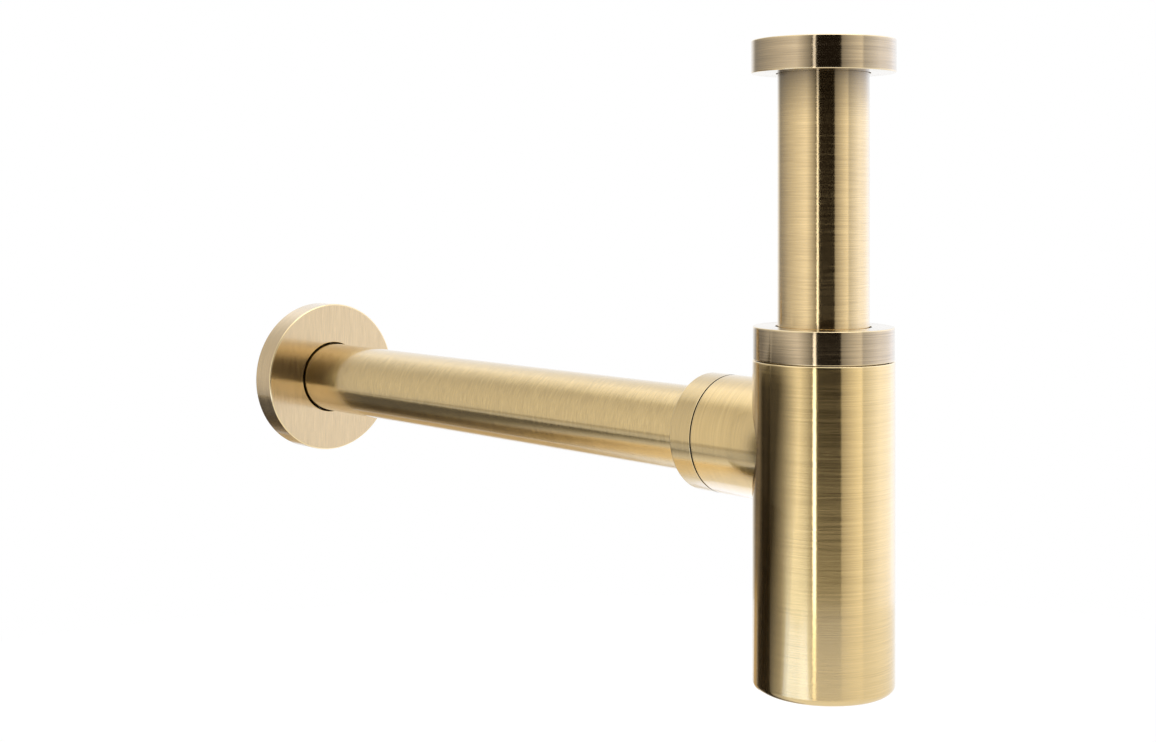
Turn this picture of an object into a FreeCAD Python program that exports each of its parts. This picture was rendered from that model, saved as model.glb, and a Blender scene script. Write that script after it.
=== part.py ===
"""Bottle trap for a wash basin: coupling nut, inlet tube, bottle, outlet pipe and wall rosette.

Millimetres. The origin is the centre of the inlet mouth, on the top rim of the coupling nut.
+Z points up along the inlet tube and +Y along the outlet pipe, towards the wall.
"""
import FreeCAD, Part
import math
import os
import typing

Vector = FreeCAD.Vector

# Coupling nut, with a G 1 1/4 pipe thread left as its minor bore
coupling_nut_diameter = 50.4
coupling_nut_height = 11.5
coupling_nut_floor = 1.8
inlet_thread_diameter = 39.0
inlet_relief_height = 3.0

# Inlet tube: a rolled collar at the top, and the dip tube at the lower end
tube_diameter = 32.0
tube_wall = 1.0
collar_diameter = 41.0
collar_thickness = 1.2
visible_tube_length = 88.2
water_seal_depth = 56.0

# Inlet gasket
gasket_thickness = 1.5
gasket_bore_diameter = 30.4

# Lid nut and the bottle's threaded mouth
lid_diameter = 49.2
lid_height = 11.5
lid_plate = 2.0
lid_hole_gap = 0.75
mouth_thread_diameter = 44.6
mouth_bore_diameter = 41.0

# Bottle
bottle_diameter = 49.5
bottle_height = 114.2
bottle_wall = 1.5
bottle_floor = 2.0
bottle_corner_radius = 2.5
bottle_inner_chamfer = 1.0

# Outlet socket on the bottle
outlet_drop = 30.5
socket_diameter = 43.7
socket_reach = 43.4
socket_thread_diameter = 39.2
socket_mouth_diameter = 37.0

# Outlet nut
outlet_nut_length = 10.2
outlet_nut_plate = 2.0
outlet_hole_gap = 0.5

# Outlet pipe
pipe_diameter = 32.0
pipe_wall = 1.0
pipe_length = 310.0
pipe_insertion = 16.0
insertion_mark_from_end = 20.0
insertion_mark_width = 0.8
insertion_mark_depth = 0.25
pipe_end_chamfer = 0.3

# Wall rosette and its rubber ring
rosette_diameter = 70.0
rosette_depth = 12.3
rosette_free_end = 21.6
rosette_plate = 2.0
rosette_rim_wall = 1.5
rosette_hole_gap = 0.6
rosette_hub_wall = 3.6
rosette_hub_depth = 8.0
rosette_edge = 0.6
grip_ring_section = 2.5
grip_ring_setback = 4.0

# Slip rings and cone seals, the same kind at the lid and at the outlet
slip_ring_thickness = 1.0
seal_head_height = 1.4
seal_cone_length = 4.6
seal_cone_taper = 0.6
seat_chamfer = 0.8

# Clearances
slide_gap = 0.3
thread_gap = 0.3
seam_gap = 0.3
stack_gap = 0.1
seal_gap = 0.05
tube_hole_gap = 0.4
groove_gap = 0.1
collar_gap = 0.6

# Edges
rim_chamfer = 0.4


def radius_of(diameter):
    """Half a diameter."""
    return diameter / 2.0


# Heights along the inlet axis, worked down from the top rim of the coupling nut
nut_bottom = -coupling_nut_height
collar_bottom = nut_bottom + coupling_nut_floor + stack_gap
collar_top = collar_bottom + collar_thickness
gasket_top = collar_top + gasket_thickness
relief_top = nut_bottom + coupling_nut_floor + inlet_relief_height
lid_top = nut_bottom - visible_tube_length
lid_bottom = lid_top - lid_height
bottle_shoulder = lid_bottom - seam_gap
bottle_bottom = bottle_shoulder - bottle_height
bottle_floor_top = bottle_bottom + bottle_floor
outlet_height = bottle_shoulder - outlet_drop
outlet_invert = outlet_height - radius_of(pipe_diameter) + pipe_wall
dip_tube_end = outlet_invert - water_seal_depth

# Distances along the outlet axis, worked outwards from the bottle's axis
outlet_nut_back = socket_reach + seam_gap
outlet_nut_front = outlet_nut_back + outlet_nut_length
pipe_start = socket_reach - pipe_insertion
pipe_end = pipe_start + pipe_length
rosette_back = pipe_end - rosette_free_end
rosette_front = rosette_back - rosette_depth


class Corner(typing.NamedTuple):
    """A corner of a turned outline. The cut is the size of its chamfer, or its radius where it is round."""

    radius: float
    height: float
    cut: float = 0.0
    form: str = "chamfer"

    def point(self):
        """The corner in the XZ plane."""
        return Vector(self.radius, 0, self.height)


def outline_edges(corners):
    """Edges of a closed outline in the XZ plane, with the chamfers and tangent arcs at its corners."""
    entries = []
    exits = []
    edges = []
    for index, corner in enumerate(corners):
        here = corner.point()
        to_previous = (corners[index - 1].point() - here).normalize()
        to_next = (corners[(index + 1) % len(corners)].point() - here).normalize()
        half_angle = to_previous.getAngle(to_next) / 2.0
        reach = corner.cut / math.tan(half_angle) if corner.form == "round" else corner.cut
        entries.append(here + to_previous * reach)
        exits.append(here + to_next * reach)
        if corner.cut == 0.0:
            continue
        if corner.form == "round":
            inward = (to_previous + to_next).normalize()
            middle = here + inward * corner.cut * (1.0 / math.sin(half_angle) - 1.0)
            edges.append(Part.Arc(entries[-1], middle, exits[-1]).toShape())
        else:
            edges.append(Part.LineSegment(entries[-1], exits[-1]).toShape())
    for start, end in zip(exits, entries[1:] + entries[:1]):
        edges.append(Part.LineSegment(start, end).toShape())
    return edges


def turned(corners):
    """A solid turned about the Z axis from a closed outline, given as the values of its corners."""
    edges = outline_edges([Corner(*corner) for corner in corners])
    wire = Part.Wire(Part.__sortEdges__(edges))
    return Part.Face(wire).revolve(Vector(0, 0, 0), Vector(0, 0, 1), 360)


def on_outlet(shape):
    """A shape turned about Z and laid along the outlet axis, with its heights as distances along it."""
    laid = shape.copy()
    laid.rotate(Vector(0, 0, 0), Vector(1, 0, 0), -90)
    laid.translate(Vector(0, 0, outlet_height))
    return laid


def make_coupling_nut():
    """Round nut with a threaded mouth, a relief for the collar and a floor that holds the collar."""
    outer = radius_of(coupling_nut_diameter)
    thread = radius_of(inlet_thread_diameter)
    relief = radius_of(collar_diameter) + collar_gap
    hole = radius_of(tube_diameter) + tube_hole_gap
    return turned([
        (hole, nut_bottom),
        (outer, nut_bottom, rim_chamfer),
        (outer, 0.0, rim_chamfer),
        (thread, 0.0),
        (thread, relief_top),
        (relief, relief_top),
        (relief, nut_bottom + coupling_nut_floor),
        (hole, nut_bottom + coupling_nut_floor),
    ])


def make_inlet_tube():
    """Tube with a rolled collar at its top end, and a plain lower end that dips into the bottle."""
    outer = radius_of(tube_diameter)
    inner = outer - tube_wall
    return turned([
        (inner, dip_tube_end),
        (outer, dip_tube_end),
        (outer, collar_bottom),
        (radius_of(collar_diameter), collar_bottom),
        (radius_of(collar_diameter), collar_top),
        (inner, collar_top),
    ])


def make_inlet_gasket():
    """Flat rubber ring on the collar."""
    return turned([
        (radius_of(gasket_bore_diameter), collar_top),
        (radius_of(collar_diameter), collar_top),
        (radius_of(collar_diameter), gasket_top),
        (radius_of(gasket_bore_diameter), gasket_top),
    ])


class CompressionJoint:
    """A nut, slip ring and cone seal that grip a tube in a threaded mouth, along one axis.

    Heights run outwards from the mouth: base is the nut's open end and top its outer face.
    """

    def __init__(self, tube, outer, thread, mouth, base, top, plate, hole_gap):
        self.tube = radius_of(tube)
        self.outer = radius_of(outer)
        self.thread = radius_of(thread)
        self.mouth = radius_of(mouth)
        self.base = base
        self.top = top
        self.hole = self.tube + hole_gap
        self.plate_inside = top - plate
        self.slip_ring_top = self.plate_inside - stack_gap
        self.seal_top = self.slip_ring_top - slip_ring_thickness - stack_gap
        self.mouth_rim = self.seal_top - seal_head_height
        self.seal_head = self.mouth + seat_chamfer

    def nut(self):
        """Round nut: an end plate with the tube's hole, and a skirt with the thread's bore."""
        bore = self.thread + thread_gap
        return turned([
            (self.hole, self.plate_inside),
            (bore, self.plate_inside),
            (bore, self.base),
            (self.outer, self.base, rim_chamfer),
            (self.outer, self.top, rim_chamfer),
            (self.hole, self.top),
        ])

    def slip_ring(self):
        """Thin flat ring between the nut's plate and the seal."""
        return turned([
            (self.tube + slide_gap, self.slip_ring_top - slip_ring_thickness),
            (self.seal_head, self.slip_ring_top - slip_ring_thickness),
            (self.seal_head, self.slip_ring_top),
            (self.tube + slide_gap, self.slip_ring_top),
        ])

    def cone_seal(self):
        """Rubber ring with a head on the mouth's rim and a cone inside the mouth."""
        inside = self.tube + seal_gap
        cone_top = self.mouth_rim - seat_chamfer
        cone_end = self.mouth_rim - seal_cone_length
        return turned([
            (inside, cone_end),
            (self.mouth - seal_cone_taper, cone_end),
            (self.mouth, cone_top),
            (self.seal_head, self.mouth_rim),
            (self.seal_head, self.seal_top),
            (inside, self.seal_top),
        ])

    def neck_corners(self, shoulder):
        """Outer outline of the threaded neck from the shoulder up to the rim."""
        return [
            (self.thread, shoulder),
            (self.thread, self.mouth_rim),
        ]

    def mouth_corners(self, depth):
        """Inner outline of the mouth from the rim down to a depth, with the seal's seat."""
        return [
            (self.mouth + seat_chamfer, self.mouth_rim),
            (self.mouth, self.mouth_rim - seat_chamfer),
            (self.mouth, depth),
        ]


lid_joint = CompressionJoint(
    tube_diameter, lid_diameter, mouth_thread_diameter, mouth_bore_diameter,
    lid_bottom, lid_top, lid_plate, lid_hole_gap,
)
outlet_joint = CompressionJoint(
    pipe_diameter, socket_diameter, socket_thread_diameter, socket_mouth_diameter,
    outlet_nut_back, outlet_nut_front, outlet_nut_plate, outlet_hole_gap,
)


def make_bottle_body():
    """Drawn cup with a threaded mouth and a brazed outlet socket, open from the mouth to the socket."""
    outer = radius_of(bottle_diameter)
    inner = outer - bottle_wall
    socket = radius_of(socket_diameter)
    pipe_bore = radius_of(pipe_diameter) + slide_gap
    mouth = radius_of(mouth_bore_diameter)
    neck_step = bottle_shoulder - bottle_wall
    seal_pocket = outlet_joint.mouth_rim - seal_cone_length - stack_gap

    cup = turned([
        (0.0, bottle_bottom),
        (outer, bottle_bottom, bottle_corner_radius, "round"),
        (outer, bottle_shoulder, rim_chamfer),
        *lid_joint.neck_corners(bottle_shoulder),
        (0.0, lid_joint.mouth_rim),
    ])
    spigot = on_outlet(turned([
        (0.0, 0.0),
        (socket, 0.0),
        (socket, socket_reach, rim_chamfer),
        *outlet_joint.neck_corners(socket_reach),
        (0.0, outlet_joint.mouth_rim),
    ]))
    cavity = turned([
        (0.0, bottle_floor_top),
        (inner, bottle_floor_top, bottle_inner_chamfer),
        (inner, neck_step - (inner - mouth)),
        *reversed(lid_joint.mouth_corners(neck_step)),
        (0.0, lid_joint.mouth_rim),
    ])
    waterway = on_outlet(turned([
        (0.0, 0.0),
        (pipe_bore, 0.0),
        (pipe_bore, seal_pocket),
        *reversed(outlet_joint.mouth_corners(seal_pocket)),
        (0.0, outlet_joint.mouth_rim),
    ]))
    return cup.fuse(spigot).cut(cavity).cut(waterway).removeSplitter()


def make_outlet_pipe():
    """Plain pipe with chamfered ends and a shallow rolled line that marks the insertion depth."""
    outer = radius_of(pipe_diameter)
    inner = outer - pipe_wall
    mark_end = pipe_end - insertion_mark_from_end
    mark_start = mark_end - insertion_mark_width
    return on_outlet(turned([
        (inner, pipe_start),
        (outer, pipe_start, pipe_end_chamfer),
        (outer, mark_start),
        (outer - insertion_mark_depth, mark_start),
        (outer - insertion_mark_depth, mark_end),
        (outer, mark_end),
        (outer, pipe_end, pipe_end_chamfer),
        (inner, pipe_end),
    ]))


def grip_ring_span():
    """Inner radius, outer radius, near and far distance of the square rubber ring in the rosette's hub."""
    inside = radius_of(pipe_diameter) + seal_gap
    near = rosette_front + grip_ring_setback
    return inside, inside + grip_ring_section, near, near + grip_ring_section


def make_wall_rosette():
    """Hollow round cover, open at the back, with the grip ring's groove in a hub round the pipe."""
    outer = radius_of(rosette_diameter)
    rim_inside = outer - rosette_rim_wall
    hole = radius_of(pipe_diameter) + rosette_hole_gap
    hub = hole + rosette_hub_wall
    plate_inside = rosette_front + rosette_plate
    hub_end = rosette_front + rosette_hub_depth
    ring_outside, ring_near, ring_far = grip_ring_span()[1:]
    groove_floor = ring_outside + groove_gap
    groove_near = ring_near - groove_gap
    groove_far = ring_far + groove_gap
    return on_outlet(turned([
        (hole, rosette_front),
        (outer, rosette_front, rosette_edge),
        (outer, rosette_back),
        (rim_inside, rosette_back),
        (rim_inside, plate_inside),
        (hub, plate_inside),
        (hub, hub_end),
        (hole, hub_end),
        (hole, groove_far),
        (groove_floor, groove_far),
        (groove_floor, groove_near),
        (hole, groove_near),
    ]))


def make_rosette_grip_ring():
    """Square rubber ring that grips the pipe."""
    inside, outside, near, far = grip_ring_span()
    return on_outlet(turned([
        (inside, near),
        (outside, near),
        (outside, far),
        (inside, far),
    ]))


pieces = {
    "coupling_nut": make_coupling_nut(),
    "inlet_tube": make_inlet_tube(),
    "inlet_gasket": make_inlet_gasket(),
    "lid_nut": lid_joint.nut(),
    "lid_slip_ring": lid_joint.slip_ring(),
    "lid_cone_seal": lid_joint.cone_seal(),
    "bottle_body": make_bottle_body(),
    "outlet_nut": on_outlet(outlet_joint.nut()),
    "outlet_slip_ring": on_outlet(outlet_joint.slip_ring()),
    "outlet_cone_seal": on_outlet(outlet_joint.cone_seal()),
    "outlet_pipe": make_outlet_pipe(),
    "wall_rosette": make_wall_rosette(),
    "rosette_grip_ring": make_rosette_grip_ring(),
}

os.makedirs("parts", exist_ok=True)
for node, shape in pieces.items():
    shape.exportStep(os.path.join("parts", node + ".step"))
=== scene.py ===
"""Looks of a brushed brass bottle trap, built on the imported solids.

Metres, in the frame of the solids: the origin is the centre of the inlet mouth, +Z is up along the
inlet tube and +Y runs along the outlet pipe to the wall. Sizes in the classes are millimetres.
"""
import logging
import math
from dataclasses import dataclass, field, replace
from enum import Enum, IntEnum
from typing import Dict, List, Optional, Sequence, Tuple, Union

import bmesh
import bpy
from mathutils import Euler, Matrix


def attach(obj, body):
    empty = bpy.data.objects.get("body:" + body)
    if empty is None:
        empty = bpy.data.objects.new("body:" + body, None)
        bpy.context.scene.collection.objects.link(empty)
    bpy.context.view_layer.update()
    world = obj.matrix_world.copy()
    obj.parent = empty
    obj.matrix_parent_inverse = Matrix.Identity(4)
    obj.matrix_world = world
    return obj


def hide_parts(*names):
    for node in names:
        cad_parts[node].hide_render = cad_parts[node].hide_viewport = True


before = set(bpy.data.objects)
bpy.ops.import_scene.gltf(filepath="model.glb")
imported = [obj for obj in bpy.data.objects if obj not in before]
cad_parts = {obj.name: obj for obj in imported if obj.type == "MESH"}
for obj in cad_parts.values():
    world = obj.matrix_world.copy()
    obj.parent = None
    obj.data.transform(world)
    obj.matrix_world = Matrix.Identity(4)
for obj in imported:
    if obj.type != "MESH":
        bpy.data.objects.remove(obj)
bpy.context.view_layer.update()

log = logging.getLogger("bottle_trap")

MM = 0.001
OUTLET_HEIGHT = -142.0
STROKES = "strokes"
WEAR = "edge_wear"

# The stroke map: units in a metre, and noise in a unit along straight strokes.
STROKE_UNIT = 10.0
STRAIGHT_REACH = 8.0

# Degrees from which an edge is sharp, degrees over which it wears bright, and millimetres beside it.
SHARP_ANGLE = 24.0
WORN_ANGLES = (6.0, 17.0)
WORN_MARGIN = 0.35

# Roundings of edges, in millimetres.
MARKED = 0.1
RING_EDGE = 0.15
KEEN = 0.18
FINE = 0.2
MOULDED = 0.25
EDGE = 0.3
SOFT = 0.4
LIP = 0.5
BOLD = 0.6
WIDE_CORNER = 1.5

# Faces round a brass piece and round a seal or ring. Faces across a rounded corner, which has fewer up to
# KEEN and twice as many from WIDE_CORNER on.
TURN_STEPS = 192
RING_STEPS = 128
ARC_STEPS = 5
KEEN_STEPS = 2

# Tolerances, in metres.
ON_AXIS = 1e-9
MERGED = 1e-7
MERGED_CUT = 2e-7
ON_FACE = 1e-6

# Parts of a face's normal: along the axis for a flat face, and outwards for an inner one.
FLAT = 0.7
INWARD = -0.3

Colour = Tuple[float, float, float]
Point = Tuple[float, float, float]
Span = Tuple[float, float]
Mesh = bmesh.types.BMesh
Socket = bpy.types.NodeSocket
Value = Union[float, Sequence[float], Socket]

WHITE: Colour = (1.0, 1.0, 1.0)
QUARTER_TURN = 0.25

# Spans and heights, in degrees, of a part of the studio's wall that has no end on that side.
NO_START: Span = (-401.0, -400.0)
NO_END: Span = (400.0, 401.0)
STRAIGHT_DOWN = -90.0
STRAIGHT_UP = 90.0


class Axis(Enum):
    """The axis that a piece is turned about."""

    INLET = "inlet"
    OUTLET = "outlet"

    @property
    def placement(self) -> Matrix:
        """Places a shape that was turned about +Z."""
        if self is Axis.INLET:
            return Matrix.Identity(4)
        lift = Matrix.Translation((0.0, 0.0, OUTLET_HEIGHT * MM))
        return lift @ Matrix.Rotation(-math.pi / 2, 4, "X")


class Stroke(Enum):
    """How a face was brushed: round its axis, or straight up and down."""

    TURNED = "turned"
    STRAIGHT = "straight"


class Face(IntEnum):
    """The material numbers of a turned piece's faces."""

    TURNED = 0
    STRAIGHT = 1
    INNER = 2


class BodyFace(IntEnum):
    """The material numbers of the bottle body's faces."""

    CUP = 0
    SOCKET = 1
    INNER = 2
    NECK = 3


@dataclass(frozen=True)
class Corner:
    """A corner of a turned outline, in millimetres: radius, place along the axis and rounding."""

    radius: float
    along: float
    rounding: float = 0.0


class NodeBench:
    """Adds and links the nodes of one node tree."""

    def __init__(self, tree: bpy.types.NodeTree) -> None:
        """Starts from an empty tree."""
        self.tree = tree
        self.tree.nodes.clear()

    def feed(self, socket: Socket, value: Value) -> None:
        """Links a socket to another node's output, or gives it a constant."""
        if isinstance(value, Socket):
            self.tree.links.new(value, socket)
        else:
            opaque = socket.type == "RGBA" and len(value) == 3
            socket.default_value = (*value, 1.0) if opaque else value

    def add(self, kind: str, inputs: Optional[Dict[Union[str, int], Value]] = None,
            **settings) -> bpy.types.Node:
        """Adds a node.

        Args:
            kind: the node's type name.
            inputs: socket name or number to a constant or to another node's output.
            settings: attributes of the node.

        Returns:
            The new node.
        """
        node = self.tree.nodes.new(kind)
        for key, value in settings.items():
            setattr(node, key, value)
        for key, value in (inputs or {}).items():
            self.feed(node.inputs[key], value)
        return node

    def math(self, operation: str, first: Value, second: Value = 0.0) -> Socket:
        """One step of arithmetic on numbers."""
        return self.add("ShaderNodeMath", {0: first, 1: second}, operation=operation).outputs[0]

    def vector(self, operation: str, first: Value, second: Value = (0.0, 0.0, 0.0)) -> Socket:
        """One step of arithmetic on vectors."""
        return self.add("ShaderNodeVectorMath", {0: first, 1: second}, operation=operation).outputs[0]

    def stretch(self, vector: Value, amount: Value) -> Socket:
        """A vector times a number."""
        node = self.add("ShaderNodeVectorMath", {"Vector": vector, "Scale": amount}, operation="SCALE")
        return node.outputs[0]

    def along(self, vector: Value, direction: Point) -> Socket:
        """How far a vector points in a direction."""
        node = self.add("ShaderNodeVectorMath", {0: vector, 1: direction}, operation="DOT_PRODUCT")
        return node.outputs["Value"]

    def combine(self, x: Value, y: Value, z: Value) -> Socket:
        """A vector from three numbers."""
        return self.add("ShaderNodeCombineXYZ", {0: x, 1: y, 2: z}).outputs[0]

    def ramp(self, value: Value, source: Span, target: Span = (0.0, 1.0)) -> Socket:
        """Maps a number from one span to another, held at the ends."""
        inputs = {"Value": value, "From Min": source[0], "From Max": source[1],
                  "To Min": target[0], "To Max": target[1]}
        return self.add("ShaderNodeMapRange", inputs).outputs["Result"]

    def blend(self, factor: Value, first: Value, second: Value) -> Socket:
        """Mixes two colours."""
        inputs = {"Factor": factor, 6: first, 7: second}
        return self.add("ShaderNodeMix", inputs, data_type="RGBA").outputs[2]

    def noise(self, vector: Value, detail: float, roughness: float = 0.5) -> Socket:
        """Noise with features one unit across."""
        inputs = {"Vector": vector, "Scale": 1.0, "Detail": detail, "Roughness": roughness}
        return self.add("ShaderNodeTexNoise", inputs).outputs["Fac"]


def new_material(name: str) -> Tuple[bpy.types.Material, NodeBench]:
    """Makes an empty node material.

    Args:
        name: the material's name.

    Returns:
        The material and the bench for its nodes.
    """
    material = bpy.data.materials.new(name)
    material.use_nodes = True
    return material, NodeBench(material.node_tree)


@dataclass(frozen=True)
class StrokeLayer:
    """Strokes of one kind: width and reach as parts of the finish's, their noise and share in the tone."""

    width: float
    reach: float
    shift: float
    detail: float
    share: float


FINE_STROKES = StrokeLayer(1.0, 1.0, 0.0, 2.0, 0.55)
HAIR_STROKES = StrokeLayer(0.45, 2.4, 7.0, 1.0, 0.3)
BROAD_STROKES = StrokeLayer(9.0, 0.55, 13.0, 2.0, 0.15)


@dataclass(frozen=True)
class BrushedBrass:
    """Antique brass, brushed and lacquered: fine strokes, a faint patina and edges worn bright.

    The corner tone is painted shade under a nut: the tone darkens towards the nut above. Its span is
    metres along +Z, from none to its full share.
    """

    name: str
    body: Colour
    patina: Colour
    worn: Colour = (0.90, 0.72, 0.40)
    roughness: float = 0.16
    anisotropy: float = 0.9
    coat: float = 1.0
    stroke_width: float = 0.42
    stroke_depth: float = 0.3
    stroke_relief: float = 0.00002
    stray: float = 0.012
    reach: float = 1.4
    grain: Span = (0.85, 1.2)
    wear: Span = (0.55, 0.95)
    contrast: Span = (0.3, 0.7)
    coat_roughness: float = 0.08
    coat_ior: float = 1.75
    # The corner colour is painted shade, darker towards the nut above.
    corner: Colour = (0.10, 0.066, 0.028)
    painted_shade_span: Span = (0.0, 1.0)
    painted_shade_share: float = 0.0
    slot: str = "brushed_brass"

    def stroke_coordinates(self, bench: NodeBench, axis: Axis,
                           stroke: Stroke) -> Tuple[Socket, ...]:
        """Where a point lies along and across the strokes.

        Args:
            bench: the material's nodes.
            axis: the axis that the piece is turned about.
            stroke: how its faces were brushed.

        Returns:
            The place along the strokes as a vector, and the millimetres across them.
        """
        mapped = bench.add("ShaderNodeUVMap", uv_map=STROKES).outputs["UV"]
        parts = bench.add("ShaderNodeSeparateXYZ", {0: mapped}).outputs
        across = bench.math("MULTIPLY", parts[1], 1000.0 / STROKE_UNIT)
        if stroke is Stroke.STRAIGHT:
            return bench.combine(bench.math("MULTIPLY", parts[0], STRAIGHT_REACH), 0.0, 0.0), across
        place = bench.add("ShaderNodeTexCoord").outputs["Object"]
        if axis is Axis.OUTLET:
            place = bench.add("ShaderNodeMapping", {
                "Vector": place, "Location": (0.0, OUTLET_HEIGHT * MM, 0.0),
                "Rotation": (math.pi / 2, 0.0, 0.0),
            }).outputs[0]
        flat = bench.vector("MULTIPLY", place, (1.0, 1.0, 0.0))
        return bench.stretch(bench.vector("NORMALIZE", flat), self.reach), across

    def material(self, axis: Axis, stroke: Stroke = Stroke.TURNED) -> bpy.types.Material:
        """The finish as a material.

        Args:
            axis: the axis that the piece is turned about.
            stroke: how its faces were brushed.

        Returns:
            The material, made once for each axis and stroke.
        """
        name = f"{self.name}_{axis.value}_{stroke.value}"
        if name in bpy.data.materials:
            return bpy.data.materials[name]
        material, bench = new_material(name)
        along, across = self.stroke_coordinates(bench, axis, stroke)

        patterns = []
        shade: Value = 0.0
        for layer in (FINE_STROKES, HAIR_STROKES, BROAD_STROKES):
            step = bench.math("DIVIDE", across, self.stroke_width * layer.width)
            drawn = bench.stretch(along, layer.reach)
            place = bench.vector("ADD", drawn, bench.combine(layer.shift, 0.0, step))
            pattern = bench.ramp(bench.noise(place, layer.detail), self.contrast)
            shade = bench.math("ADD", shade, bench.math("MULTIPLY", pattern, layer.share))
            patterns.append(pattern)
        fine, hair, broad = patterns
        tone = bench.blend(shade, self.patina, self.body)
        worn = bench.add("ShaderNodeAttribute", attribute_name=WEAR).outputs["Fac"]
        worn = bench.math("MULTIPLY", worn, bench.ramp(broad, (0.0, 1.0), self.wear))
        tone = bench.blend(worn, tone, self.worn)
        # Painted shade: the tone darkens towards a nut above, over the span of heights.
        if self.painted_shade_share:
            place = bench.add("ShaderNodeTexCoord").outputs["Object"]
            height = bench.along(place, (0.0, 0.0, 1.0))
            share = bench.ramp(height, self.painted_shade_span, (0.0, self.painted_shade_share))
            tone = bench.blend(share, tone, self.corner)

        smooth, coarse = (self.roughness * part for part in self.grain)
        grain = bench.ramp(fine, (0.0, 1.0), (smooth, coarse))
        bump = bench.add("ShaderNodeBump", {
            "Strength": self.stroke_depth, "Distance": self.stroke_relief, "Height": hair,
        })
        tangent = bench.add("ShaderNodeTangent", direction_type="UV_MAP", uv_map=STROKES).outputs[0]
        sway = bench.math("MULTIPLY", bench.math("SUBTRACT", fine, 0.5), self.stray)
        normal = bench.vector("ADD", bump.outputs[0], bench.stretch(tangent, sway))
        shader = bench.add("ShaderNodeBsdfPrincipled", {
            "Base Color": tone, "Metallic": 1.0, "Roughness": grain,
            "Anisotropic": self.anisotropy, "Anisotropic Rotation": QUARTER_TURN, "Tangent": tangent,
            "Normal": bench.vector("NORMALIZE", normal),
            "Coat Weight": self.coat, "Coat Roughness": self.coat_roughness, "Coat IOR": self.coat_ior,
        })
        bench.add("ShaderNodeOutputMaterial", {"Surface": shader.outputs[0]})
        return material


@dataclass(frozen=True)
class CloudedFinish:
    """A plain finish that clouds from one tone to another, the same for every axis and stroke.

    Clouds and marks are counted in a metre, and the roughness goes from the first tone to the second.
    """

    name: str
    tones: Tuple[Colour, Colour]
    roughness: Span
    clouds: float
    detail: float
    slot: str
    cloud_grain: float = 0.5
    cloud_span: Span = (0.35, 0.65)
    marks: float = 0.0
    mark_strength: float = 0.0
    mark_depth: float = 0.0
    metallic: float = 0.0
    subsurface: float = 0.0

    def material(self, axis: Axis, stroke: Stroke = Stroke.TURNED) -> bpy.types.Material:
        """The finish as a material, made once."""
        if self.name in bpy.data.materials:
            return bpy.data.materials[self.name]
        material, bench = new_material(self.name)
        place = bench.add("ShaderNodeTexCoord").outputs["Object"]
        cloud = bench.noise(bench.stretch(place, self.clouds), self.detail, self.cloud_grain)
        cloud = bench.ramp(cloud, self.cloud_span)
        inputs: Dict[Union[str, int], Value] = {
            "Base Color": bench.blend(cloud, *self.tones), "Metallic": self.metallic,
            "Roughness": bench.ramp(cloud, (0.0, 1.0), self.roughness),
            "Subsurface Weight": self.subsurface, "Subsurface Radius": (MM, MM, MM),
        }
        if self.marks:
            marks = bench.noise(bench.stretch(place, self.marks), 1.0)
            inputs["Normal"] = bench.add("ShaderNodeBump", {
                "Strength": self.mark_strength, "Distance": self.mark_depth, "Height": marks,
            }).outputs[0]
        shader = bench.add("ShaderNodeBsdfPrincipled", inputs)
        bench.add("ShaderNodeOutputMaterial", {"Surface": shader.outputs[0]})
        return material


Finish = Union[BrushedBrass, CloudedFinish]


def spun(corners: Sequence[Corner], steps: int) -> Mesh:
    """Turns a closed outline about +Z.

    Args:
        corners: the outline, in millimetres.
        steps: faces round the axis.

    Returns:
        A closed mesh in metres, with a narrow face beside each rounded corner.
    """
    bm = bmesh.new()
    rounded = set()
    verts = [bm.verts.new((corner.radius * MM, 0.0, corner.along * MM)) for corner in corners]
    bm.faces.new(verts)
    for vert, corner in zip(verts, corners):
        if corner.rounding:
            segments = ARC_STEPS if corner.rounding < WIDE_CORNER else 2 * ARC_STEPS
            if corner.rounding <= KEEN:
                segments = KEEN_STEPS
            made = bmesh.ops.bevel(bm, geom=[vert], offset=corner.rounding * MM, offset_type="OFFSET",
                                   segments=segments, profile=0.5, affect="VERTICES", material=-1)
            rounded.update(made["verts"])
    for edge in list(bm.edges):
        for end in list(edge.verts):
            length = edge.calc_length()
            if end in rounded and length > 3.0 * WORN_MARGIN * MM and end in edge.verts:
                cut = bmesh.utils.edge_split(edge, end, WORN_MARGIN * MM / length)
                edge = max(cut[1].link_edges, key=lambda candidate: candidate.calc_length())
    on_axis = [edge for edge in bm.edges if all(abs(vert.co.x) < ON_AXIS for vert in edge.verts)]
    bmesh.ops.delete(bm, geom=list(bm.faces), context="FACES_ONLY")
    if on_axis:
        bmesh.ops.delete(bm, geom=on_axis, context="EDGES")
    bmesh.ops.spin(bm, geom=list(bm.verts) + list(bm.edges), cent=(0.0, 0.0, 0.0), axis=(0.0, 0.0, 1.0),
                   angle=2.0 * math.pi, steps=steps, use_merge=True, use_duplicate=False)
    bmesh.ops.remove_doubles(bm, verts=list(bm.verts), dist=MERGED)
    bmesh.ops.recalc_face_normals(bm, faces=list(bm.faces))
    return bm


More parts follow.
